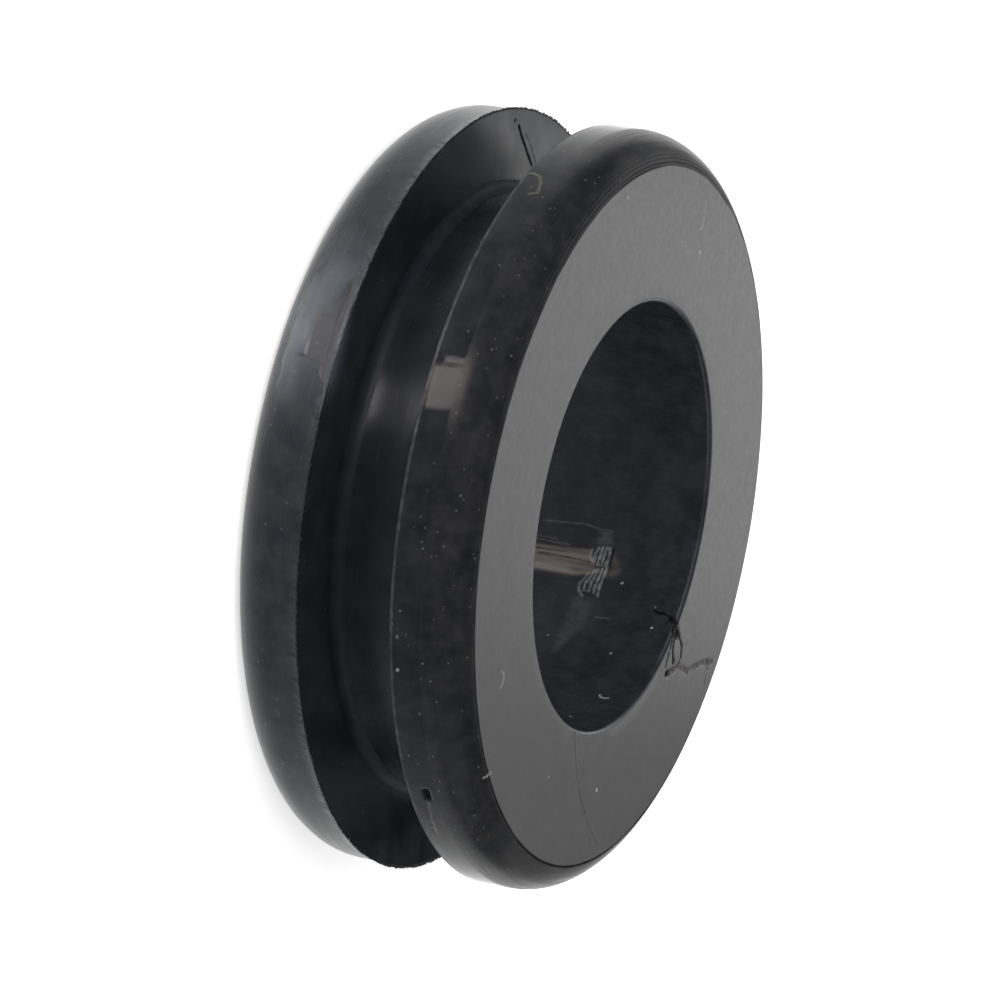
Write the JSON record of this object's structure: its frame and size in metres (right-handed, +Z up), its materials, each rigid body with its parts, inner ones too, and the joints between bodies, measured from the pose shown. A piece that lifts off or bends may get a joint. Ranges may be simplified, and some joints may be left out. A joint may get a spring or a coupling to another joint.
{
  "type": "rubber grommet",
  "caption": "Round rubber grommet with rounded flanges, a panel groove between them and a plain cable bore.",
  "frame": {"origin": "centre of the lower flange's flat face, on the bore's axis", "axes": "+Z up along the bore, from the lower flange to the upper one; +X and +Y are free, because the section is round"},
  "size_m": [0.045, 0.045, 0.0145],
  "materials": {
    "rubber": "moulded black rubber, matt on the flat faces and glossy in the bore"
  },
  "bodies": {
    "root": {"grommet": "rubber"}
  },
  "joints": []
}
